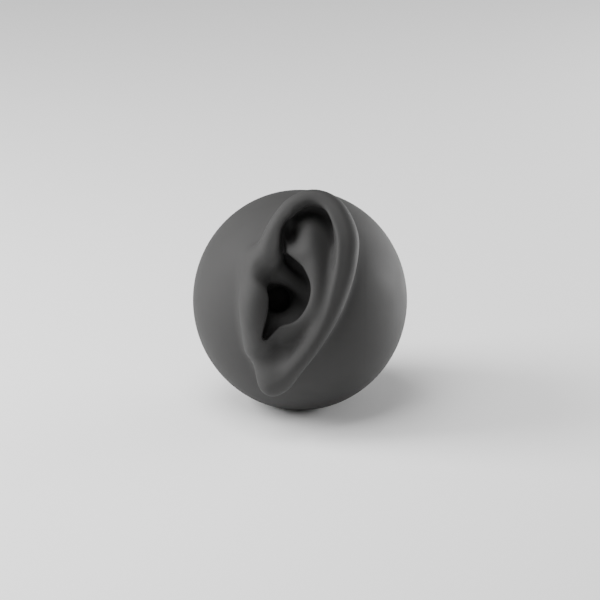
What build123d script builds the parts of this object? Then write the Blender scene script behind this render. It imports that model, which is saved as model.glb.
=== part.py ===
from build123d import *

# Display ball with a life-size ear: a soft moulded skin over a screwed plastic core, weighted
# so that it stands on its flat foot.
# Frame: +Z up, the foot's resting face on Z = 0 and centred on the origin, the ear facing -Y
# and tipped up a little. Millimetres.

import os
from math import cos, radians, sin, sqrt

# --- ball, skin and core -----------------------------------------------------------------------
BALL_HALF_WIDTH = 32.5  # the ball is a touch taller than wide
BALL_HALF_HEIGHT = 33.6
SKIN_THICK = 2.9
CORE_GAP = 0.1  # between the skin and the core inside it
CORE_WALL = 2.4
FOOT_RING_RADIUS = 10.4  # where the ball's curve meets the flat underneath
FOOT_RING_HEIGHT = 0.3  # the pad stands this far below the skin's ring
SLIDE_GAP = 0.1  # round the pieces that drop into each other

# --- foot: pad, plug, screw and ballast --------------------------------------------------------
PAD_RADIUS = 8.4
PAD_THICK = 1.0
PLUG_RADIUS = 9.2
SPIGOT_RADIUS = 6.0
SPIGOT_TOP = 4.3
LIP_BOTTOM = 2.1  # the plug clamps the skin's lip from here up to LIP_TOP
LIP_TOP = 3.2
FLOOR_TOP = 6.0  # the core's floor, which the ballast sits on
BALLAST_TOP = 13.0
BALLAST_GAP = 0.4  # round the ballast's curved side
BASE_SCREW_RADIUS = 2.0
BASE_SCREW_HEAD_RADIUS = 3.75
BASE_SCREW_TIP = 11.0
BASE_SOCKET_RADIUS = 1.25
BASE_SOCKET_DEPTH = 1.2

# --- core screws and their bosses --------------------------------------------------------------
BOSS_ACROSS = 37.0
BOSS_UPWARD = 29.0
BOSS_RADIUS = 4.3
FRONT_BOSS_LENGTH = 12.0
SCREW_RADIUS = 1.5
SCREW_REACH = 10.0  # in front of the parting plane
SCREW_HEAD_RADIUS = 2.8
SCREW_HEAD_HEIGHT = 2.2
SCREW_SOCKET_RADIUS = 1.2
HEAD_SEAT = 6.0  # behind the parting plane
TONGUE_LENGTH = 1.2
TONGUE_THICK = 1.1

# --- ear, in its own plane: across, up, and out towards the viewer from the ball's centre ------
EAR_TIP_UP = 20.0  # degrees that the ear looks up
EAR_CREST = 31.4  # how far out the middle of the ear's plate lies
EAR_ROUND = 58.0  # the plate curves back round this radius, top and bottom
EAR_FLARE = 8.0  # degrees that the free edge stands further out than the root
PLATE_THICK = 3.4
PLATE_STOCK = (15.0, 40.0)  # from here to here, before the plate is cut to its curve
HELIX_RADIUS = 2.9
ANTIHELIX_RADIUS = 2.7
CONCHA_LEVELS = [(24.0, 0.86), (36.0, 1.06)]  # how far out, and the bowl's size there
ROOT_CENTRE = (-4.0, 1.0)
ROOT_RADIUS = 14.0  # the block of skin that fills the core's window
ROOT_INNER = 21.0
WINDOW_GAP = 0.25
CANAL_CENTRE = (-6.6, 0.2)
CANAL_RADIUS = 3.75
CANAL_END = 13.0
CANAL_WALL = 2.2
TRAGUS_CENTRE = (-13.6, 0.0, 30.0)
TRAGUS_RADII = (2.9, 7.6, 3.6)
FOSSA_CENTRE = (-2.6, 19.8, 32.5)
FOSSA_RADII = (2.4, 4.0, 3.2)

EAR_OUTLINE = [
    (-12.6, 14.5), (-8.1, 23.6), (-2.4, 30.3), (4.0, 32.3), (10.6, 29.6), (15.6, 23.0),
    (17.1, 15.5), (14.5, 4.1), (10.1, -5.7), (4.3, -15.0), (-2.8, -24.3), (-8.1, -27.7),
    (-12.3, -23.4), (-14.5, -13.0), (-15.0, 2.0),
]  # fmt: skip
CONCHA_OUTLINE = [
    (-4.6, 12.6), (-0.8, 10.9), (2.1, 7.3), (3.0, 2.8), (1.2, -3.0), (-3.0, -6.6), (-8.1, -9.3),
    (-10.8, -11.0), (-12.0, -8.0), (-12.0, 1.0), (-10.6, 6.6), (-6.8, 9.0),
]  # fmt: skip
HELIX_LINE = [
    (0.0, 1.8, 24.0), (-5.5, 5.8, 26.5), (-9.6, 11.0, 29.5), (-8.6, 18.0, 30.6),
    (-4.2, 25.8, 30.0), (3.5, 29.4, 29.4), (10.6, 26.0, 31.0), (14.1, 17.2, 33.0),
    (12.8, 6.5, 34.4), (9.0, -3.0, 34.4), (4.0, -12.0, 32.8), (-1.8, -20.0, 30.0),
    (-7.6, -24.6, 27.6),
]  # fmt: skip
ANTIHELIX_LINE = [
    (3.5, 22.5, 29.8), (3.6, 16.0, 31.6), (5.2, 8.5, 33.0), (5.2, 1.0, 33.2), (2.0, -6.0, 32.6),
    (-5.6, -10.4, 31.0),
]  # fmt: skip

# --- derived sizes and planes ------------------------------------------------------------------
CENTRE_HEIGHT = FOOT_RING_HEIGHT + BALL_HALF_HEIGHT * sqrt(1 - (FOOT_RING_RADIUS / BALL_HALF_WIDTH) ** 2)
CORE_OUTSIDE = SKIN_THICK + CORE_GAP  # both measured in from the ball's surface
CORE_INSIDE = CORE_OUTSIDE + CORE_WALL
CORE_UNDERSIDE = LIP_TOP + CORE_GAP

tip = radians(EAR_TIP_UP)
ear_plane = Plane(origin=(0, 0, CENTRE_HEIGHT), x_dir=(1, 0, 0), z_dir=(0, -cos(tip), sin(tip)))
# looks along the ear's plate to its edge
edge_plane = Plane(ear_plane.location * Rotation(0, 90 - EAR_FLARE, 0))
# the parting plane, facing front
boss_plane = Plane(origin=(0, 0, CENTRE_HEIGHT), x_dir=(1, 0, 0), z_dir=(0, -1, 0))
STANDING = (Align.CENTER, Align.CENTER, Align.MIN)


def ball_inset(depth):
    """A solid of the ball's shape, drawn in by depth all round."""
    with BuildPart() as ball:
        with BuildSketch(Plane.XZ):
            with Locations((0, CENTRE_HEIGHT)):
                Ellipse(BALL_HALF_WIDTH - depth, BALL_HALF_HEIGHT - depth)
            split(bisect_by=Plane.YZ, keep=Keep.TOP)
        revolve(axis=Axis.Z)
    return ball.part


def ear_ridge(line, radius):
    """A round ridge of the ear, along a smooth line given in the ear's plane, with round ends."""
    points = [ear_plane.from_local_coords(point) for point in line]
    with BuildPart() as ridge:
        with BuildLine() as path:
            Spline(*points)
        with BuildSketch(Plane(origin=points[0], z_dir=path.line % 0)):
            Circle(radius)
        sweep(path=path.line)
        with Locations(points[0], points[-1]):
            Sphere(radius)
    return ridge.part


def ear_lump(centre, radii):
    """An ellipsoid in the ear's plane."""
    with BuildPart() as lump:
        Sphere(1)
        scale(by=radii)
    return lump.part.moved(ear_plane.location * Location(centre))


# --- the soft skin, with the ear ---------------------------------------------------------------
with BuildPart() as skin_cavity:
    add(ball_inset(SKIN_THICK))
    split(bisect_by=Plane.XY.offset(LIP_TOP), keep=Keep.TOP)

with BuildPart() as window_filling:
    add(ball_inset(SKIN_THICK / 2))
    with Locations(ear_plane.location * Location((*ROOT_CENTRE, ROOT_INNER))):
        Cylinder(ROOT_RADIUS, BALL_HALF_HEIGHT, align=STANDING, mode=Mode.INTERSECT)

with BuildPart() as auricle:
    with BuildSketch(ear_plane.offset(PLATE_STOCK[0])):
        with BuildLine():
            Spline(*EAR_OUTLINE, periodic=True)
        make_face()
    extrude(amount=PLATE_STOCK[1] - PLATE_STOCK[0])
    with BuildSketch(edge_plane):
        with Locations((EAR_ROUND - EAR_CREST, 0)):
            Circle(EAR_ROUND + PLATE_THICK / 2)
            Circle(EAR_ROUND - PLATE_THICK / 2, mode=Mode.SUBTRACT)
    extrude(amount=EAR_ROUND, both=True, mode=Mode.INTERSECT)

with BuildPart() as concha_space:
    for height, size in CONCHA_LEVELS:
        with BuildSketch(ear_plane.offset(height)):
            with BuildLine():
                Spline(*CONCHA_OUTLINE, periodic=True)
            make_face()
            scale(by=size)
    loft()

with BuildPart() as ear_skin:
    add(ball_inset(0))
    split(bisect_by=Plane.XY.offset(FOOT_RING_HEIGHT), keep=Keep.TOP)
    add(skin_cavity.part, mode=Mode.SUBTRACT)
    add(window_filling.part)
    with Locations(ear_plane.location * Location((*CANAL_CENTRE, CANAL_END - CANAL_WALL))):
        Cylinder(CANAL_RADIUS + CANAL_WALL, ROOT_INNER + 1 - CANAL_END + CANAL_WALL, align=STANDING)
    add(auricle.part)
    add(concha_space.part, mode=Mode.SUBTRACT)
    add(ear_ridge(HELIX_LINE, HELIX_RADIUS))
    add(ear_ridge(ANTIHELIX_LINE, ANTIHELIX_RADIUS))
    add(ear_lump(TRAGUS_CENTRE, TRAGUS_RADII))
    add(ear_lump(FOSSA_CENTRE, FOSSA_RADII), mode=Mode.SUBTRACT)
    with Locations(ear_plane.location * Location((*CANAL_CENTRE, CANAL_END))):
        Cylinder(CANAL_RADIUS, BALL_HALF_HEIGHT, align=STANDING, mode=Mode.SUBTRACT)
    Cylinder(SPIGOT_RADIUS + SLIDE_GAP, CORE_UNDERSIDE, align=STANDING, mode=Mode.SUBTRACT)
    Cylinder(PLUG_RADIUS + SLIDE_GAP, LIP_BOTTOM, align=STANDING, mode=Mode.SUBTRACT)

# --- the two core shells -----------------------------------------------------------------------
with BuildPart() as core_envelope:
    add(ball_inset(CORE_OUTSIDE))
    split(bisect_by=Plane.XY.offset(CORE_UNDERSIDE), keep=Keep.TOP)

with BuildPart() as core_space:
    add(ball_inset(CORE_INSIDE))
    split(bisect_by=Plane.XY.offset(FLOOR_TOP), keep=Keep.TOP)

with BuildPart() as tongue:  # joined to the front half, and slides inside the rear half's wall
    add(ball_inset(CORE_INSIDE - TONGUE_THICK / 2))
    split(bisect_by=Plane.XZ, keep=Keep.TOP)
    add(ball_inset(CORE_INSIDE + SLIDE_GAP))
    add(ball_inset(CORE_INSIDE + TONGUE_THICK), mode=Mode.SUBTRACT)
    split(bisect_by=Plane.XZ.offset(TONGUE_LENGTH), keep=Keep.BOTTOM)
    split(bisect_by=Plane.XZ.offset(-TONGUE_LENGTH), keep=Keep.TOP)
    split(bisect_by=Plane.XY.offset(BALLAST_TOP + TONGUE_LENGTH), keep=Keep.TOP)
    with BuildSketch(boss_plane.offset(-HEAD_SEAT)):
        with GridLocations(BOSS_ACROSS, BOSS_UPWARD, 2, 2):
            Circle(BOSS_RADIUS + 2 * SLIDE_GAP)
    extrude(amount=HEAD_SEAT, mode=Mode.SUBTRACT)

with BuildPart() as spigot_hole:  # through both halves at the foot
    Cylinder(SPIGOT_RADIUS + SLIDE_GAP, SPIGOT_TOP + SLIDE_GAP, align=STANDING)
    Cylinder(BASE_SCREW_RADIUS + SLIDE_GAP, BALLAST_TOP, align=STANDING)

with BuildPart() as core_front:
    add(core_envelope.part)
    add(core_space.part, mode=Mode.SUBTRACT)
    split(bisect_by=Plane.XZ, keep=Keep.TOP)
    add(tongue.part)
    with BuildSketch(boss_plane):
        with GridLocations(BOSS_ACROSS, BOSS_UPWARD, 2, 2):
            Circle(BOSS_RADIUS)
    extrude(amount=FRONT_BOSS_LENGTH)
    add(core_envelope.part, mode=Mode.INTERSECT)
    with BuildSketch(boss_plane):
        with GridLocations(BOSS_ACROSS, BOSS_UPWARD, 2, 2):
            Circle(SCREW_RADIUS + SLIDE_GAP / 2)
    extrude(amount=SCREW_REACH + SLIDE_GAP, mode=Mode.SUBTRACT)
    with Locations(ear_plane.location * Location((*ROOT_CENTRE, ROOT_INNER - 1))):
        Cylinder(ROOT_RADIUS + WINDOW_GAP, BALL_HALF_HEIGHT, align=STANDING, mode=Mode.SUBTRACT)
    add(spigot_hole.part, mode=Mode.SUBTRACT)

with BuildPart() as core_rear:
    add(core_envelope.part)
    add(core_space.part, mode=Mode.SUBTRACT)
    with BuildSketch(boss_plane):
        with GridLocations(BOSS_ACROSS, BOSS_UPWARD, 2, 2):
            Circle(BOSS_RADIUS)
    extrude(amount=-BALL_HALF_WIDTH)
    add(core_envelope.part, mode=Mode.INTERSECT)
    split(bisect_by=Plane.XZ, keep=Keep.BOTTOM)
    with BuildSketch(boss_plane):
        with GridLocations(BOSS_ACROSS, BOSS_UPWARD, 2, 2):
            Circle(SCREW_RADIUS + SLIDE_GAP)
    extrude(amount=-BALL_HALF_WIDTH, mode=Mode.SUBTRACT)
    with BuildSketch(boss_plane.offset(-HEAD_SEAT)):
        with GridLocations(BOSS_ACROSS, BOSS_UPWARD, 2, 2):
            Circle(SCREW_HEAD_RADIUS + SLIDE_GAP)
    extrude(amount=-BALL_HALF_WIDTH, mode=Mode.SUBTRACT)
    add(spigot_hole.part, mode=Mode.SUBTRACT)

# --- what holds the core shut and weighs it down -----------------------------------------------
with BuildPart() as core_screws:
    with BuildSketch(boss_plane.offset(-HEAD_SEAT)):
        with GridLocations(BOSS_ACROSS, BOSS_UPWARD, 2, 2):
            Circle(SCREW_RADIUS)
    extrude(amount=HEAD_SEAT + SCREW_REACH)
    with BuildSketch(boss_plane.offset(-HEAD_SEAT)):
        with GridLocations(BOSS_ACROSS, BOSS_UPWARD, 2, 2):
            Circle(SCREW_HEAD_RADIUS)
    extrude(amount=-SCREW_HEAD_HEIGHT)
    head_rims = core_screws.edges().filter_by(GeomType.CIRCLE).group_by(Axis.Y)[-1]
    fillet(head_rims, SCREW_HEAD_HEIGHT / 2)
    with BuildSketch(boss_plane.offset(-HEAD_SEAT - SCREW_HEAD_HEIGHT)):
        with GridLocations(BOSS_ACROSS, BOSS_UPWARD, 2, 2):
            RegularPolygon(SCREW_SOCKET_RADIUS, 6)
    extrude(amount=SCREW_HEAD_HEIGHT / 2, mode=Mode.SUBTRACT)

with BuildPart() as ballast:
    add(ball_inset(CORE_INSIDE + BALLAST_GAP))
    split(bisect_by=Plane.XY.offset(FLOOR_TOP), keep=Keep.TOP)
    split(bisect_by=Plane.XY.offset(BALLAST_TOP), keep=Keep.BOTTOM)
    chamfer(ballast.edges().group_by(Axis.Z)[-1], BALLAST_GAP)
    with Locations((0, 0, BALLAST_TOP)):
        Hole(BASE_SCREW_RADIUS + SLIDE_GAP / 2)

# --- the foot ----------------------------------------------------------------------------------
with BuildPart() as base_plug:
    with Locations((0, 0, PAD_THICK)):
        Cylinder(PLUG_RADIUS, LIP_BOTTOM - PAD_THICK, align=STANDING)
        Cylinder(SPIGOT_RADIUS, SPIGOT_TOP - PAD_THICK, align=STANDING)
    with Locations(Plane((0, 0, PAD_THICK), z_dir=(0, 0, -1))):
        CounterSinkHole(BASE_SCREW_RADIUS + SLIDE_GAP, BASE_SCREW_HEAD_RADIUS + SLIDE_GAP)

with BuildPart() as base_screw:
    with BuildSketch(Plane.XZ):
        with BuildLine():
            Polyline(
                (0, PAD_THICK),
                (BASE_SCREW_HEAD_RADIUS, PAD_THICK),
                (BASE_SCREW_RADIUS, PAD_THICK + BASE_SCREW_HEAD_RADIUS - BASE_SCREW_RADIUS),
                (BASE_SCREW_RADIUS, BASE_SCREW_TIP),
                (0, BASE_SCREW_TIP),
                close=True,
            )
        make_face()
    revolve(axis=Axis.Z)
    with BuildSketch(Plane.XY.offset(PAD_THICK)):
        RegularPolygon(BASE_SOCKET_RADIUS, 6)
    extrude(amount=BASE_SOCKET_DEPTH, mode=Mode.SUBTRACT)

with BuildPart() as foot_pad:
    Cylinder(PAD_RADIUS, PAD_THICK, align=STANDING)

# --- write each piece --------------------------------------------------------------------------
os.makedirs("parts", exist_ok=True)
pieces = {
    "ear_skin": ear_skin,
    "core_front": core_front,
    "core_rear": core_rear,
    "core_screws": core_screws,
    "ballast": ballast,
    "base_plug": base_plug,
    "base_screw": base_screw,
    "foot_pad": foot_pad,
}
for name, piece in pieces.items():
    piece.part.label = name
    export_step(piece.part, f"parts/{name}.step")
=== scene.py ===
# %% [markdown]
# # A display ball with a life-size ear
# The object is a ball about 65 mm across, with a soft charcoal silicone skin and a human ear moulded on its
# front. Shops use such balls to show earphones, hearing aids and ear jewellery. The CAD model holds the
# frame: the stiff core, its screws, the ballast, the plug, the pad and a plain version of the skin. Here
# the skin is modelled again as one smooth soft form and gets its real surface, and the other pieces keep
# their CAD shapes and get their materials.

from math import cos, radians, sin

import bmesh
import bpy
import numpy as np
import openvdb
from mathutils import Matrix, Vector


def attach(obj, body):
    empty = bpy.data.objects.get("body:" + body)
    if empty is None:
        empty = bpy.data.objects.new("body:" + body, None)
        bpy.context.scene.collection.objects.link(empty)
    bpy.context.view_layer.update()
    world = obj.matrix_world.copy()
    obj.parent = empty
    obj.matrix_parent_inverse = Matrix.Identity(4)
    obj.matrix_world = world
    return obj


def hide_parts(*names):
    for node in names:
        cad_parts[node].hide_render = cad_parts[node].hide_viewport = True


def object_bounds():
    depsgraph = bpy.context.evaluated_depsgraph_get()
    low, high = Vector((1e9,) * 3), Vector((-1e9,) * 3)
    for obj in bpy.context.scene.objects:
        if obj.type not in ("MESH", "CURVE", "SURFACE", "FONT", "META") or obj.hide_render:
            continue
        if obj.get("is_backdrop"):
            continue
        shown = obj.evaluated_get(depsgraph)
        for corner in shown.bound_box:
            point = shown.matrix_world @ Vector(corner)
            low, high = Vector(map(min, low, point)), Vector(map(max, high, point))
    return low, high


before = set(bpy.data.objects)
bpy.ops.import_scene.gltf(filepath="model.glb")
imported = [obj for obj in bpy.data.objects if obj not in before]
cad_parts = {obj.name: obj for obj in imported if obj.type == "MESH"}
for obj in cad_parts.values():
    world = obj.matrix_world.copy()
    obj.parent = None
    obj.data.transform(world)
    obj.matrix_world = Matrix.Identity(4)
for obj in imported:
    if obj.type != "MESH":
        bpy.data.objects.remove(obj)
cad_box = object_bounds()
print("nodes", sorted(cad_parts), "cad box", cad_box)

# %% [markdown]
# ## Where the ear sits
# An ear is easiest to shape looking straight at it, so it is modelled in its own axes: a to the right, b up
# and c out towards the viewer, all from the ball's centre and in millimetres. The ear looks up by 20
# degrees, and two short functions turn world heights and depths into these axes and back. The ball's size
# comes from the frame's box.

# %% The ear's axes
MM = 0.001
EAR_TIP_UP = radians(20)
BALL_HALF_WIDTH = 32.5
BALL_HALF_HEIGHT = 33.6
FOOT_RING_HEIGHT = 0.3
FOOT_RING_RADIUS = 10.4
CENTRE_HEIGHT = FOOT_RING_HEIGHT + BALL_HALF_HEIGHT * (1 - (FOOT_RING_RADIUS / BALL_HALF_WIDTH) ** 2) ** 0.5


def world_depth(b, c):
    """World y of a point, in millimetres."""
    return b * sin(EAR_TIP_UP) - c * cos(EAR_TIP_UP)


def world_rise(b, c):
    """World z of a point above the ball's centre, in millimetres."""
    return b * cos(EAR_TIP_UP) + c * sin(EAR_TIP_UP)


print("ball centre", round(CENTRE_HEIGHT, 2), "mm up")

# %% [markdown]
# ## Soft shapes from distances
# Silicone is cast in a mould cut from a sculpted ear, so no edge of it is a hard CAD edge: every form runs
# into the next. Box modelling would need hundreds of vertices moved by hand. A distance field is closer to
# clay: each form is a function that says how far a point is from its surface, and joining two with a smooth
# minimum presses them together with a soft fillet. A smooth maximum with the reverse of a form carves it
# out.

# %% Join and carve


def soft_min(first, second, fillet):
    near = np.maximum(fillet - np.abs(first - second), 0) / fillet
    return np.minimum(first, second) - near * near * fillet / 4


def join(body, form, fillet):
    return soft_min(body, form, fillet)


def carve(body, form, fillet):
    return -soft_min(-body, form, fillet)


def overlap(first, second, fillet):
    """What lies inside both."""
    return -soft_min(-first, -second, fillet)


print("two walls 1 mm away, joined by a 4 mm fillet, lie", soft_min(1.0, 1.0, 4.0), "mm away")

# %% Distance to an ellipsoid


def ellipsoid(a, b, c, centre, radii):
    p, q, r = ((v - m) / s for v, m, s in zip((a, b, c), centre, radii))
    reach = np.sqrt(p * p + q * q + r * r)
    slope = np.sqrt((p / radii[0]) ** 2 + (q / radii[1]) ** 2 + (r / radii[2]) ** 2)
    return reach * (reach - 1) / np.maximum(slope, 1e-6)


print("a unit sphere's distance at 2:", ellipsoid(2.0, 0.0, 0.0, (0, 0, 0), (1, 1, 1)))

# %% [markdown]
# ## Lines through a few points
# An ear is made of ridges, so each is drawn as a smooth line through a handful of points. A Catmull-Rom
# curve passes through every point it is given, which makes a point on the ear easy to move. A swept tube
# round such a line is a plain ridge. The helix needs a section of its own: a round roll with a thinner lip
# beside it, like a teardrop.

# %% Smooth lines and closed outlines


def smooth_line(points, per_span=12, closed=False):
    """A Catmull-Rom curve through points of any dimension."""
    points = np.array(points, float)
    count = len(points)
    if closed:
        padded = np.vstack([points[-1], points, points[0], points[1]])
    else:
        padded = np.vstack([2 * points[0] - points[1], points, 2 * points[-1] - points[-2]])
    t = np.linspace(0, 1, per_span, endpoint=False)[:, None]
    spans = []
    for i in range(count if closed else count - 1):
        p0, p1, p2, p3 = padded[i : i + 4]
        spans.append(0.5 * (2 * p1 + (p2 - p0) * t + (2 * p0 - 5 * p1 + 4 * p2 - p3) * t**2
                            + (3 * p1 - p0 - 3 * p2 + p3) * t**3))  # fmt: skip
    if not closed:
        spans.append(points[-1:])
    return np.vstack(spans)


def outline_distance(a, b, corners):
    """Signed distance in the plane of a and b to a closed outline, negative inside."""
    a, b = a[:, :, 0], b[:, :, 0]
    nearest = np.full(np.broadcast(a, b).shape, 1e9)
    inside = np.zeros(nearest.shape, bool)
    for (a0, b0), (a1, b1) in zip(corners, np.roll(corners, -1, 0)):
        da, db = a1 - a0, b1 - b0
        along = np.clip(((a - a0) * da + (b - b0) * db) / (da * da + db * db), 0, 1)
        nearest = np.minimum(nearest, (a - a0 - along * da) ** 2 + (b - b0 - along * db) ** 2)
        if db:
            inside ^= ((b0 <= b) != (b1 <= b)) & (a < a0 + (b - b0) / db * da)
    return np.where(inside, -1, 1)[:, :, None] * np.sqrt(nearest)[:, :, None]


middle = np.zeros((1, 1, 1))
square = np.array([(-1, -1), (1, -1), (1, 1), (-1, 1)])
print("from the middle of a 2 mm square to its edge:", outline_distance(middle, middle, square).item(), "mm")

# %% Tubes and rolled rims


def along_line(space, centres):
    """For each point, where along a line it lies, and its offset from the line across it."""
    steps = np.gradient(centres, axis=0)
    spacing = np.linalg.norm(steps, axis=1)
    tangents = steps / spacing[:, None]
    squares = (centres**2).sum(1)
    for start in range(0, len(space), 100_000):
        part = space[start : start + 100_000]
        nearest = np.argmin(squares - 2 * part @ centres.T, 1)
        offset = part - centres[nearest]
        along = (offset * tangents[nearest]).sum(1) / spacing[nearest]
        place = np.clip(nearest + np.clip(along, -0.5, 0.5), 0, len(centres) - 1)
        slide = (place - nearest) * spacing[nearest]
        direction = tangents[nearest]
        yield slice(start, start + 100_000), place, offset - slide[:, None] * direction, direction


def tube(space, points, per_span=12):
    """Distance to a round ridge along a smooth line. Each point is a, b, c and the radius there."""
    line = smooth_line(points, per_span).astype(np.float32)
    result = np.empty(len(space), np.float32)
    for part, place, offset, _ in along_line(space, line[:, :3]):
        result[part] = np.linalg.norm(offset, axis=1) - np.interp(place, np.arange(len(line)), line[:, 3])
    return result


def rolled_rim(space, points, lip_radius, drop, per_span=12):
    """Distance to a rolled rim: a round roll whose right side runs out into a thinner lip.

    Each point is a, b, c, the roll's radius and how far away the lip's middle lies.
    """
    line = smooth_line(points, per_span).astype(np.float32)
    result = np.empty(len(space), np.float32)
    for part, place, offset, tangent in along_line(space, line[:, :3]):
        radius, reach = (np.interp(place, np.arange(len(line)), line[:, k]) for k in (3, 4))
        inward = np.stack([tangent[:, 1], -tangent[:, 0], np.zeros(len(tangent))], 1)
        inward /= np.linalg.norm(inward, axis=1)[:, None]
        upward = np.cross(inward, tangent)
        rise = radius - lip_radius - drop
        across, up, beside = ((offset * axis).sum(1) for axis in (inward, upward, tangent))
        apart = np.hypot(reach, rise)
        taper = np.clip((radius - lip_radius) / apart, 0, 0.995)
        straight = np.sqrt(1 - taper**2)
        far = (across * reach + up * rise) / apart
        side = np.hypot((up * reach - across * rise) / apart, beside)
        turn = straight * far - taper * side
        flank = straight * side + taper * far - radius
        lip = np.hypot(side, far - apart) - lip_radius
        roll = np.hypot(side, far) - radius
        result[part] = np.where(turn < 0, roll, np.where(turn > straight * apart, lip, flank))
    return result


upright_line = [(0, -5, 0, 1), (0, 5, 0, 1)]
print("from 3 mm off a 1 mm tube:", tube(np.array([(3.0, 0.0, 0.0)], np.float32), upright_line).item(), "mm")

# %% [markdown]
# ## The grid
# The field is measured on a grid and meshed at its zero level. The ear needs cells of 0.4 mm, and the
# plain ball behind it doesn't, so the grid's lines are close together across the ear and spread out
# beyond it.

# %% Grid lines
FINE = 0.4
COARSE = 1.3


def grid_lines(low, fine_low, fine_high, high):
    """Places along one axis: FINE apart in the middle, growing towards COARSE at the ends."""
    places = list(np.arange(fine_low, fine_high, FINE))
    for end, sign in ((high, 1), (low, -1)):
        step, here, run = FINE, places[-1] if sign > 0 else places[0], []
        while sign * (end - here) > 0:
            step = min(step * 1.08, COARSE)
            here += sign * step
            run.append(here)
        places = places + run if sign > 0 else run[::-1] + places
    return np.array(places, np.float32)


a_lines = grid_lines(-34, -19, 19, 34)
b_lines = grid_lines(-35.5, -31, 34.5, 35.5)
c_lines = grid_lines(-34.5, 20, 36.5, 38)
a, b, c = a_lines[:, None, None], b_lines[None, :, None], c_lines[None, None, :]
print("grid", len(a_lines), len(b_lines), len(c_lines))

# %% [markdown]
# ## The ball
# The ball is a touch taller than wide, and flat underneath where it stands.

# %% The ball
p = np.broadcast_to(a, (len(a_lines), len(b_lines), len(c_lines)))
ball_radii = (BALL_HALF_WIDTH, BALL_HALF_WIDTH, BALL_HALF_HEIGHT)
body = ellipsoid(p, world_depth(b, c), world_rise(b, c), (0, 0, 0), ball_radii).astype(np.float32)
foot = (FOOT_RING_HEIGHT - CENTRE_HEIGHT - world_rise(b, c)).astype(np.float32)
FOOT_EDGE_FILLET = 0.8
body = overlap(body, foot, FOOT_EDGE_FILLET)
print("deepest point of the ball's field:", round(float(body.min()), 1), "mm")

# %% [markdown]
# ## The ear's plate
# The auricle is a curved plate. It follows the head at the left, where it is joined to the ball, and stands
# away from the ball at the right and above. Its face carries the soft hills and valleys of the ear, which
# are heights along smooth lines, each with a bell-shaped section, as a thumb would press them.

# %% The ear's part of the grid
# Only the grid's corner that holds the ear is worked on from here.
near_a = (a_lines > -24) & (a_lines < 20)
near_b = (b_lines > -32) & (b_lines < 35.4)
near_c = c_lines > 8
ear_cells = np.ix_(near_a, near_b, near_c)
ea, eb, ec = a_lines[near_a][:, None, None], b_lines[near_b][None, :, None], c_lines[near_c][None, None, :]
shape = (near_a.sum(), near_b.sum(), near_c.sum())
space = np.stack([np.broadcast_to(v, shape).ravel() for v in (ea, eb, ec)], 1).astype(np.float32)
ear = body[ear_cells].copy()


print("ear's part of the grid:", shape)

# %% Ridges, lumps and swells


def ridge(points):
    return tube(space, points).reshape(shape)


def lump(centre, radii):
    return ellipsoid(ea, eb, ec, centre, radii).astype(np.float32)


def swell(points):
    """Height over the plate along a smooth line. Each point is a, b, the height there and the half-width."""
    line = smooth_line(points)
    away = (ea - line[:, 0]) ** 2 + (eb - line[:, 1]) ** 2
    nearest = away.argmin(2)
    height, width = line[nearest, 2], line[nearest, 3]
    return (height * np.exp(-away.min(2) / width**2))[:, :, None]


def smoothed(heights, reach=0.9):
    """The same relief with creases finer than reach rubbed out, as a finger wets clay smooth."""
    margin = round(3 * reach / FINE)
    weights = np.exp(-((np.arange(-margin, margin + 1) * FINE / reach) ** 2))
    weights /= weights.sum()
    flat = heights[:, :, 0]
    for axis in (0, 1):
        padded = np.pad(flat, [(margin, margin) if k == axis else (0, 0) for k in (0, 1)], mode="edge")
        flat = np.apply_along_axis(lambda row: np.convolve(row, weights, "valid"), axis, padded)
    return flat[:, :, None]


def softened(field, times):
    """The field averaged with its neighbours, so that every crease in the surface gets a small radius."""
    field = field.copy()
    for axis in (0, 1, 2) * times:
        cells = np.moveaxis(field, axis, 0)
        cells[1:-1] = (cells[:-2] + 2 * cells[1:-1] + cells[2:]) / 4
    return field


def slope(heights):
    """How much longer a step along a relief is than the same step in plan."""
    steep_a = np.gradient(heights[:, :, 0], ea.ravel(), axis=0)
    steep_b = np.gradient(heights[:, :, 0], eb.ravel(), axis=1)
    return np.sqrt(1 + steep_a**2 + steep_b**2)[:, :, None]


bump = swell([(0.0, 0.0, 3.0, 2.0), (1.0, 0.0, 3.0, 2.0)])
print("a swell 3 mm high reaches", round(float(bump.max()), 2), "mm")

# %% The plate's face
PLATE_THICK = 3.4
plate_level = 30.0 + 0.11 * ea - np.where(eb > 0, 0.0078, 0.0058) * eb**2
ANTIHELIX = [
    (3.6, 27.0, 0.4, 3.4), (2.4, 22.0, 3.0, 4.2), (2.6, 16.0, 4.4, 5.0), (4.4, 9.0, 4.8, 5.0),
    (4.8, 3.0, 4.8, 4.4), (3.6, -3.0, 4.2, 3.8), (0.4, -7.6, 3.6, 3.2), (-4.4, -9.6, 3.2, 2.8),
    (-8.6, -11.4, 2.0, 2.4),
]  # fmt: skip
LOWER_BRANCH = [
    (-5.6, 14.8, 0.2, 1.6), (-3.4, 14.2, 1.8, 1.8), (-0.8, 13.2, 1.2, 2.2), (2.0, 11.6, 0.0, 2.6),
]  # fmt: skip
VALLEY = [
    (-1.4, 25.6, -1.6, 2.4), (5.6, 25.4, -2.4, 2.6), (9.2, 21.0, -3.0, 2.8), (10.2, 14.6, -3.0, 2.8),
    (9.6, 8.0, -1.8, 2.6), (8.4, 2.0, -0.5, 2.2), (7.0, -3.4, 0.3, 1.8), (5.4, -8.0, 0.5, 1.8),
]  # fmt: skip
GROOVE = [
    (-8.4, -15.2, -0.8, 2.4), (-5.4, -13.6, -3.0, 2.5), (-1.4, -11.4, -3.2, 2.4), (2.6, -8.0, -1.6, 2.0),
]  # fmt: skip
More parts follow.
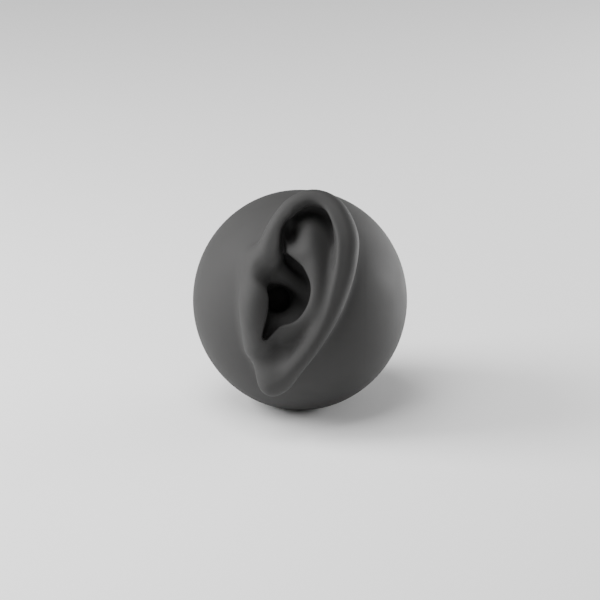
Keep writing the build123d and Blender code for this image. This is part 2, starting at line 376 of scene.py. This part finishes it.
LOBE = [
    (7.2, -5.4, 0.4, 2.6), (5.2, -11.0, 2.4, 2.6), (2.4, -15.6, 3.8, 3.0), (-2.2, -20.4, 4.8, 3.8),
    (-7.4, -22.8, 4.0, 4.6),
]  # fmt: skip
NECK = [(-11.6, -13.0, 1.0, 2.6), (-10.6, -18.0, 1.4, 3.4)]
RIM = [
    (-8.0, 20.6, 2.0, 1.8), (-4.4, 25.8, 2.4, 1.8), (3.8, 30.0, 2.8, 1.8), (11.4, 26.0, 3.0, 2.0),
    (14.8, 18.0, 3.2, 2.2), (14.6, 11.0, 3.2, 2.2), (12.0, 2.4, 2.8, 2.0), (8.8, -5.6, 1.4, 2.0),
    (3.6, -13.6, 0.4, 2.0),
]  # fmt: skip
FOSSA = [(-1.6, 24.4, -1.2, 2.0), (-2.6, 20.6, -2.4, 2.4), (-3.2, 17.8, -1.4, 1.9)]
RELIEF = (ANTIHELIX, LOWER_BRANCH, VALLEY, GROOVE, LOBE, NECK, RIM, FOSSA)
relief = smoothed(plate_level + sum(swell(line) for line in RELIEF))
behind = plate_level + swell(RIM) + swell(FOSSA) - PLATE_THICK
PLATE_OUTLINE = [
    (-9.5, 14.5), (-7.9, 19.9), (-4.8, 25.2), (-1.0, 29.1), (3.9, 30.6), (8.7, 29.0), (12.4, 25.0),
    (14.8, 18.4), (14.6, 12.6), (13.4, 6.8), (11.7, 1.5), (9.5, -3.9), (6.8, -9.2), (3.4, -14.6),
    (-0.5, -19.6), (-4.4, -24.0), (-8.0, -25.6), (-11.0, -22.0), (-12.6, -16.0), (-13.0, -8.0), (-12.8, 0.0),
    (-11.6, 8.0),
]  # fmt: skip
plate_edge = outline_distance(ea, eb, smooth_line(PLATE_OUTLINE, closed=True, per_span=6))
face = (ec - relief) / slope(relief)
back = (behind - ec) / slope(behind)
plate = overlap(face, back, 1.0)
plate = overlap(plate, plate_edge, 1.5)
ear = join(ear, plate.astype(np.float32), 4.0)
ROOT = ((-2.5, 2.0, 22.0), (12.0, 17.0, 8.0))
ear = join(ear, lump(*ROOT), 4.0)
print("the face's relief, lowest and highest:", relief.min().round(1), relief.max().round(1), "mm")

# %% [markdown]
# ## The helix
# The helix is the rolled rim. It starts in the bowl as a low ridge, climbs, turns over the top and runs
# down the outer edge into the lobe. Its section is a round roll with a thin lip that hangs over the valley
# inside it.

# %% Helix
LIP_RADIUS = 0.8
LIP_DROP = -0.2
HELIX = [
    (-8.8, 8.0, 26.0, 3.8, 0.0), (-9.0, 13.6, 27.8, 3.8, 1.6), (-7.8, 19.2, 28.9, 3.0, 2.0),
    (-5.0, 24.6, 28.9, 2.6, 1.2), (-1.4, 28.4, 28.4, 2.5, 0.6), (3.6, 30.2, 28.2, 2.5, 0.6),
    (8.5, 28.7, 29.0, 2.7, 1.5), (11.7, 24.6, 30.0, 3.2, 2.1), (13.5, 18.4, 31.0, 3.8, 2.1),
    (13.3, 12.8, 31.7, 3.8, 1.9), (12.4, 7.8, 32.1, 3.7, 1.6), (10.8, 2.4, 32.4, 3.4, 1.2),
    (8.9, -2.9, 32.5, 3.1, 0.6), (6.4, -8.2, 32.4, 2.8, 0.2), (3.0, -13.8, 31.8, 2.7, 0.0),
    (-1.0, -18.8, 30.2, 2.8, 0.0), (-4.8, -23.0, 28.1, 3.1, 0.0), (-8.2, -24.7, 26.2, 3.4, 0.0),
]  # fmt: skip
ear = join(ear, rolled_rim(space, HELIX, LIP_RADIUS, LIP_DROP).reshape(shape), 2.0)
UNDERCUT = [
    (1.6, 27.0, 28.8, 0.5), (6.6, 25.9, 29.6, 1.2), (8.9, 21.9, 31.0, 1.4), (9.8, 17.6, 32.0, 1.4),
    (9.8, 13.0, 32.9, 1.1), (9.6, 9.0, 34.0, 0.4),
]  # fmt: skip
ear = carve(ear, ridge(UNDERCUT), 0.8)
print("the helix is drawn through", len(HELIX), "points")

# %% [markdown]
# ## The fossa, the tragus and the lobe
# The triangular fossa is a deep pit between the two upper branches of the antihelix. The tragus is the flap
# in front of the canal: a long ridge, with a lower one beside it that runs out into the cheek. The lobe is
# a soft pad. The pit is carved with an ellipsoid, and the rest is pressed on with wide fillets, as a
# sculptor adds clay to a rough form.

# %% Fossa, tragus and lobe
PIT = ((-2.9, 20.2, 29.2), (2.1, 3.6, 5.0))
ear = carve(ear, lump(*PIT), 1.6)
CHEEK = [
    (-12.6, 12.0, 25.8, 3.2), (-13.2, 4.0, 27.2, 3.8), (-13.2, -4.0, 27.4, 3.8), (-12.4, -14.0, 26.4, 3.4),
]  # fmt: skip
ear = join(ear, ridge(CHEEK), 3.4)
TRAGUS = [
    (-11.8, 7.6, 28.2, 3.2), (-13.0, 1.5, 31.2, 4.1), (-13.0, -5.0, 31.4, 4.1), (-11.8, -12.6, 29.4, 3.4),
]  # fmt: skip
ear = join(ear, ridge(TRAGUS), 3.6)
LOBE_PAD = ((-7.6, -20.5, 26.6), (5.4, 7.0, 3.2))
ear = join(ear, lump(*LOBE_PAD), 3.0)
print("solid share of the ear's grid:", round(float((ear < 0).mean()), 3))

# %% [markdown]
# ## The concha and the canal
# The concha is the bowl that leads sound to the canal. Its outline is sharp at the antihelix and round at
# the cheek, so it is drawn as a closed outline and sunk straight in, a little wider below than at its brim.
# The crus is the helix's foot, a low ridge laid across the bowl. The canal is a plain round hole, made to
# take an ear tip.

# %% Concha
CONCHA = [
    (-4.2, 13.2), (-1.9, 11.8), (0.3, 10.0), (1.6, 8.1), (2.8, 5.4), (3.1, 2.8), (2.5, -0.4), (1.2, -3.1),
    (-0.6, -5.3), (-2.8, -6.6), (-4.6, -6.9), (-6.4, -7.7), (-8.2, -9.4), (-10.1, -11.6),
    (-11.0, -11.0), (-10.2, -7.0), (-9.2, -3.0), (-9.0, 1.5), (-8.6, 5.0), (-7.0, 8.4), (-5.6, 11.4),
]  # fmt: skip
concha_edge = outline_distance(ea, eb, smooth_line(CONCHA, closed=True, per_span=6))
CONCHA_FLOOR = 21.5
CONCHA_BRIM = 33.5
widening = np.clip(0.12 * (CONCHA_BRIM - ec), 0, 1.2)
concha = overlap(concha_edge - widening, CONCHA_FLOOR - ec, 6.0)
ear = carve(ear, concha.astype(np.float32), 0.8)
CRACK = ((-5.0, 16.8, 29.8), (0.8, 4.8, 3.6))
ear = carve(ear, lump(*CRACK), 0.8)
CRUS = [
    (-9.6, 12.0, 27.0, 3.6), (-7.4, 8.6, 25.6, 3.4), (-4.4, 6.2, 24.0, 3.0), (-0.8, 3.8, 22.4, 2.6),
    (3.0, 0.8, 21.0, 2.2),
]  # fmt: skip
ear = join(ear, ridge(CRUS), 3.0)
NOTCH = [(-12.2, 9.6, 33.6, 1.6), (-10.4, 7.8, 33.2, 2.0), (-8.2, 5.6, 32.0, 2.6)]
ear = carve(ear, ridge(NOTCH), 3.0)
CANAL = [(-6.6, 0.2, 16.75, 3.75), (-6.6, 0.2, 23.0, 3.75)]
ear = carve(ear, ridge(CANAL), 4.0)
body[ear_cells] = softened(ear, 2)
print("solid share with the bowl and canal carved:", round(float((ear < 0).mean()), 3))

# %% [markdown]
# ## From a field to a mesh
# OpenVDB walks through the grid and lays a quad wherever the field changes sign. It counts in grid cells,
# so each corner's place is looked up in the grid's lines to give metres. The result is one closed, even
# mesh.

# %% Mesh the field
grid = openvdb.FloatGrid(2.0)
grid.copyFromArray(np.ascontiguousarray(body))
corners, quads = grid.convertToQuads(isovalue=0.0)


def to_world(corners):
    """Grid positions to metres in the world."""
    lines = (a_lines, b_lines, c_lines)
    pa, pb, pc = (np.interp(corners[:, i], np.arange(len(g)), g) for i, g in enumerate(lines))
    return np.stack([pa, world_depth(pb, pc), CENTRE_HEIGHT + world_rise(pb, pc)], 1) * MM


skin_mesh = bpy.data.meshes.new("ear_and_skin")
skin_mesh.from_pydata(to_world(corners).tolist(), [], quads.tolist())
skin = bpy.data.objects.new("ear_and_skin", skin_mesh)
bpy.context.scene.collection.objects.link(skin)
print("solid form:", len(corners), "corners,", len(quads), "faces")

# %% [markdown]
# ## The hollow and the foot
# The silicone is a skin about 3 mm thick, stretched over the core like a swimming cap, with a thick plug
# of it behind the ear that fills the core's window, and an opening underneath for the plug. The hollow is
# made as a solid of its own and cut away with a Boolean, because a second surface this plain is easier to
# state than to sculpt. One place is still wrong: the concha's lower tip reaches past the edge of that
# plug, where the bowl is deeper than the skin, so a hole about 2 mm wide is left there. The count of
# corners, edges and faces shows it.

# %% Cut the hollow
SKIN_THICK = 2.9
HOLLOW_FLOOR = 3.2
WINDOW_CENTRE = (-4.0, 1.0)
WINDOW_RADIUS = 14.0
WINDOW_INNER = 21.0
CANAL_TUBE_RADIUS = 5.95
CANAL_TUBE_END = 10.8
PLUG_RECESS = (9.3, 2.1)
SPIGOT_HOLE = (6.1, 4.0)
BEYOND = 40.0  # past the ball's surface

ear_frame = Matrix(((1, 0, 0, 0), (0, sin(EAR_TIP_UP), -cos(EAR_TIP_UP), 0),
                    (0, cos(EAR_TIP_UP), sin(EAR_TIP_UP), CENTRE_HEIGHT), (0, 0, 0, 1)))  # fmt: skip


def cutter(name, shape):
    mesh = bpy.data.meshes.new(name)
    shape.transform(Matrix.Scale(MM, 4))
    shape.to_mesh(mesh)
    shape.free()
    tool = bpy.data.objects.new(name, mesh)
    bpy.context.scene.collection.objects.link(tool)
    return tool


def cylinder(name, radius, low, high, place):
    """A cylinder along the local z of place, from low to high."""
    shape = bmesh.new()
    middle = place @ Matrix.Translation((0, 0, (low + high) / 2))
    size = {"radius1": radius, "radius2": radius, "depth": high - low}
    bmesh.ops.create_cone(shape, cap_ends=True, segments=96, matrix=middle, **size)
    return cutter(name, shape)


def cut(solid, tool):
    """Take tool's shape out of solid, and throw the tool away."""
    step = solid.modifiers.new("cut", "BOOLEAN")
    step.operation = "DIFFERENCE"
    step.solver = "MANIFOLD"
    step.object = tool
    bpy.context.view_layer.objects.active = solid
    bpy.ops.object.modifier_apply(modifier=step.name)
    bpy.data.objects.remove(tool)


print("cutting tools ready for a skin", SKIN_THICK, "mm thick")

# %% Cut it, and hand the skin to the frame
inner = bmesh.new()
inner_size = [radius - SKIN_THICK for radius in ball_radii]
inner_place = Matrix.Translation((0, 0, CENTRE_HEIGHT)) @ Matrix.Diagonal((*inner_size, 1))
bmesh.ops.create_uvsphere(inner, u_segments=96, v_segments=64, radius=1, matrix=inner_place)
hollow = cutter("hollow", inner)
upright = Matrix.Identity(4)
cut(hollow, cylinder("below_floor", BALL_HALF_WIDTH, -5, HOLLOW_FLOOR, upright))
window_place = ear_frame @ Matrix.Translation((*WINDOW_CENTRE, 0))
cut(hollow, cylinder("window_plug", WINDOW_RADIUS, WINDOW_INNER, BEYOND, window_place))
canal_place = ear_frame @ Matrix.Translation((CANAL[0][0], CANAL[0][1], 0))
cut(hollow, cylinder("canal_tube", CANAL_TUBE_RADIUS, CANAL_TUBE_END, BEYOND, canal_place))
cut(skin, hollow)
cut(skin, cylinder("plug_recess", PLUG_RECESS[0], -1, PLUG_RECESS[1], upright))
cut(skin, cylinder("spigot_hole", SPIGOT_HOLE[0], -1, SPIGOT_HOLE[1], upright))
skin.data.shade_smooth()
skin.data.set_sharp_from_angle(angle=radians(50))
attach(skin, "root")
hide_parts("ear_skin")
corner_count, edge_count, face_count = len(skin.data.vertices), len(skin.data.edges), len(skin.data.polygons)
print("hollow skin:", corner_count, "corners,", face_count, "faces")
# A bag with one mouth gives 2 here, and every further opening into the hollow takes 2 away.
print("openings besides the mouth:", (2 - (corner_count - edge_count + face_count)) // 2)

# %% [markdown]
# ## Writing shaders as sums
# A procedural finish is a chain of small nodes. Clicking them together hides the arithmetic, so here a
# class wraps an output socket and overloads the operators: `0.7 + 0.1 * grain` adds the Math nodes that it
# needs. One method adds any other node from its type, its settings and what goes into its sockets.

# %% Sockets that add and multiply


class Value:
    """An output socket that can stand in a Python sum."""

    def __init__(self, finish, socket):
        self.finish = finish
        self.socket = socket

    def maths(self, operation, first, second):
        sockets = {0: first, 1: second}
        return self.finish.add("ShaderNodeMath", {"operation": operation}, sockets)

    def __add__(self, other):
        return self.maths("ADD", self, other)

    __radd__ = __add__

    def __mul__(self, other):
        return self.maths("MULTIPLY", self, other)

    __rmul__ = __mul__

    def __sub__(self, other):
        return self.maths("SUBTRACT", self, other)

    def __rsub__(self, other):
        return self.maths("SUBTRACT", other, self)


class Finish:
    """One material and its node tree."""

    def __init__(self, name, **constants):
        self.material = bpy.data.materials.new(name)
        self.material.use_nodes = True
        self.tree = self.material.node_tree
        self.surface = self.tree.nodes["Principled BSDF"]
        for socket, value in constants.items():
            self.surface.inputs[socket.replace("_", " ").title().replace("Ior", "IOR")].default_value = value

    def fill(self, socket, value):
        if isinstance(value, Value):
            self.tree.links.new(value.socket, socket)
        else:
            socket.default_value = value

    def add(self, kind, settings, sockets, output=0):
        """Add a node: settings go on the node first, then each socket gets its number, colour or link."""
        node = self.tree.nodes.new(kind)
        for name, setting in settings.items():
            if name == "stops":
                node.color_ramp.elements[0].position, node.color_ramp.elements[1].position = setting
            else:
                setattr(node, name, setting)
        for name, value in sockets.items():
            self.fill(node.inputs[name], value)
        return Value(self, node.outputs[output])

    def place(self):
        """Where a point of the surface is, in metres."""
        return self.add("ShaderNodeTexCoord", {}, {}, "Object")

    def noise(self, cell, detail=2.0, at=None):
        """Soft random values from 0 to 1 whose blotches are cell metres across."""
        sockets = {"Vector": at or self.place(), "Scale": 1 / cell, "Detail": detail}
        return self.add("ShaderNodeTexNoise", {}, sockets, "Fac")

    def mix(self, share, first, second):
        """A colour between two, by share."""
        return self.add("ShaderNodeMix", {"data_type": "RGBA"}, {0: share, 6: first, 7: second}, 2)

    def ramp(self, value, low, high):
        """Stretch value so that low becomes 0 and high becomes 1."""
        return self.add("ShaderNodeValToRGB", {"stops": (low, high)}, {"Fac": value}, "Color")

    def finish(self, colour, roughness, height, depth, strength=1.0):
        """Connect the varying colour, roughness and relief to the surface. depth is in metres."""
        self.fill(self.surface.inputs["Base Color"], colour)
        self.fill(self.surface.inputs["Roughness"], roughness)
        relief = self.add("ShaderNodeBump", {}, {"Height": height, "Distance": depth, "Strength": strength})
        self.fill(self.surface.inputs["Normal"], relief)
        print("finish", self.material.name, len(self.tree.nodes), "nodes")
        return self.material


sample = Finish("sample")
total = 0.7 + 0.1 * sample.noise(0.01)
print("0.7 + 0.1 * noise is a", type(total).__name__, "made of", len(sample.tree.nodes), "nodes")
bpy.data.materials.remove(sample.material)

# %% [markdown]
# ## Charcoal silicone
# Soft-touch silicone takes its dull surface from a fine blasted mould: the grain is far smaller than a
# millimetre and only dulls the light. Where fingers have been, the skin is a little smoother, in patches as
# wide as a fingertip. Two noises of very different size give both, and a little of the large one goes into
# the colour.

# %% Silicone


def charcoal_silicone():
    finish = Finish("charcoal_silicone", specular_ior_level=0.45)
    patches = finish.ramp(finish.noise(0.012, 3.0), 0.35, 0.65)
    grain = finish.noise(0.00035, 3.0)
    pores = finish.noise(0.0011, 1.0)
    shade = 0.7 * patches + 0.3 * grain
    colour = finish.mix(shade, (0.024, 0.0236, 0.0232, 1), (0.030, 0.0296, 0.0292, 1))
    roughness = 0.70 + 0.07 * patches + 0.06 * grain
    return finish.finish(colour, roughness, 0.8 * grain + 0.2 * pores, 0.00004, 0.5)


skin.data.materials.clear()
skin.data.materials.append(charcoal_silicone())

# %% [markdown]
# ## The pieces inside and underneath
# The CAD pieces keep their shapes. Moulded plastic has a fine spark-eroded texture and slow waves where it
# shrank, turned steel has rings round its axis, plated screws are smooth with faint clouds, and the rubber
# pad is die-cut from sheet with a tight grain. Each gets a short function of its own.

# %% Plastics and rubber


def moulded_plastic(name, dark, light, roughness):
    finish = Finish(name)
    waves = finish.noise(0.018, 1.0)
    texture = finish.noise(0.0005, 2.0)
    colour = finish.mix(0.6 * waves + 0.4 * texture, dark, light)
    return finish.finish(colour, roughness + 0.12 * waves - 0.06 * texture, texture, 0.00003, 0.6)


def sheet_rubber():
    finish = Finish("sheet_rubber", specular_ior_level=0.35)
    grain = finish.noise(0.0006, 4.0)
    scuffs = finish.ramp(finish.noise(0.004, 2.0), 0.55, 0.75)
    colour = finish.mix(0.5 * scuffs + 0.3 * grain, (0.022, 0.022, 0.022, 1), (0.06, 0.06, 0.058, 1))
    return finish.finish(colour, 0.8 + 0.12 * scuffs, grain, 0.00006, 0.8)


print("two finishes written:", moulded_plastic.__name__, sheet_rubber.__name__)

# %% Steels


def turned_steel():
    finish = Finish("turned_steel", metallic=1.0)
    settings = {"wave_type": "RINGS", "rings_direction": "Z"}
    sockets = {"Vector": finish.place(), "Scale": 350.0, "Distortion": 0.6}
    rings = finish.add("ShaderNodeTexWave", settings, sockets, "Fac")
    clouds = finish.noise(0.006, 3.0)
    colour = finish.mix(clouds, (0.40, 0.40, 0.41, 1), (0.50, 0.50, 0.50, 1))
    return finish.finish(colour, 0.30 + 0.14 * clouds + 0.06 * rings, rings, 0.00002, 0.6)


def plated_steel():
    finish = Finish("plated_steel", metallic=1.0)
    clouds = finish.noise(0.002, 3.0)
    scratches = finish.noise(0.0003, 1.0)
    colour = finish.mix(clouds, (0.58, 0.58, 0.55, 1), (0.68, 0.68, 0.67, 1))
    return finish.finish(colour, 0.24 + 0.18 * clouds, scratches, 0.00001, 0.4)


# %% Give each CAD piece its material
core_plastic = moulded_plastic("core_moulding", (0.48, 0.48, 0.46, 1), (0.58, 0.58, 0.56, 1), 0.48)
plug_plastic = moulded_plastic("plug_moulding", (0.034, 0.034, 0.036, 1), (0.05, 0.05, 0.052, 1), 0.42)
screw_steel = plated_steel()
materials = {
    "core_front": core_plastic,
    "core_rear": core_plastic,
    "core_screws": screw_steel,
    "ballast": turned_steel(),
    "base_plug": plug_plastic,
    "base_screw": screw_steel,
    "foot_pad": sheet_rubber(),
}
for node, material in materials.items():
    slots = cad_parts[node].data.materials
    slots.clear()
    slots.append(material)
print("CAD pieces shown:", sorted(materials))

# %% [markdown]
# ## Floor, light and camera
# The ball stands on a plain pale floor in a white room. A large soft light high on the left models the ear,
# a narrow one behind on the right draws the far edge and the outside of the helix, and a weak one above
# lifts the top. Soft lights are large for their distance, so shadows have no edge. A long lens far away
# keeps the ball round.

# %% Floor and room
ROOM_LIGHT = 0.3
bpy.ops.mesh.primitive_plane_add(size=4)
floor = bpy.context.object
floor.name = "floor"
white = Finish("floor_white", base_color=(0.9, 0.9, 0.9, 1), roughness=0.9)
floor.data.materials.append(white.material)
floor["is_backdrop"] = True

world = bpy.data.worlds.new("studio")
bpy.context.scene.world = world
world.use_nodes = True
room = world.node_tree.nodes["Background"]
room.inputs["Color"].default_value = (1, 1, 1, 1)
room.inputs["Strength"].default_value = ROOM_LIGHT
print("floor", tuple(round(side, 2) for side in floor.dimensions), "m, room light", ROOM_LIGHT)

# %% Lights
centre = Vector((0, 0, CENTRE_HEIGHT * MM))
# name: where it hangs, its width and height, its power in watts
LIGHTS = {
    "left_softbox": ((-0.50, -0.01, 0.32), (0.3, 0.4), 5.6),
    "right_softbox": ((0.48, 0.28, 0.06), (0.4, 0.16), 5.6),
    "top_softbox": ((-0.15, -0.12, 0.60), (0.4, 0.4), 3.6),
}


def aim(holder, place):
    """Put a light or camera somewhere, looking at the ball's centre."""
    holder.location = place
    holder.rotation_euler = (centre - Vector(place)).to_track_quat("-Z", "Y").to_euler()
    bpy.context.scene.collection.objects.link(holder)


for name, (place, size, power) in LIGHTS.items():
    lamp = bpy.data.lights.new(name, "AREA")
    lamp.shape = "RECTANGLE"
    lamp.size, lamp.size_y = size
    lamp.energy = power
    aim(bpy.data.objects.new(name, lamp), place)
print("lights:", list(LIGHTS))

# %% Camera
LENS = 200
DISTANCE = 5.058 * LENS * MM
camera_data = bpy.data.cameras.new("camera")
camera_data.sensor_width = 36
camera_data.lens = LENS
camera = bpy.data.objects.new("camera", camera_data)
aim(camera, centre + Vector((0, -cos(EAR_TIP_UP), sin(EAR_TIP_UP))) * DISTANCE)
bpy.context.scene.camera = camera
print("camera", round(DISTANCE, 3), "m from the ball")

# %% [markdown]
# ## Sizes and finish
# The CAD model's box and the visual model's box are put side by side in one table, and the visual box is
# printed. The visual model must stay inside the CAD model's box.

# %% Finish
visual_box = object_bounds()
sizes = {"cad": [list(corner) for corner in cad_box], "visual": [list(corner) for corner in visual_box]}
print("visual box", sizes["visual"])
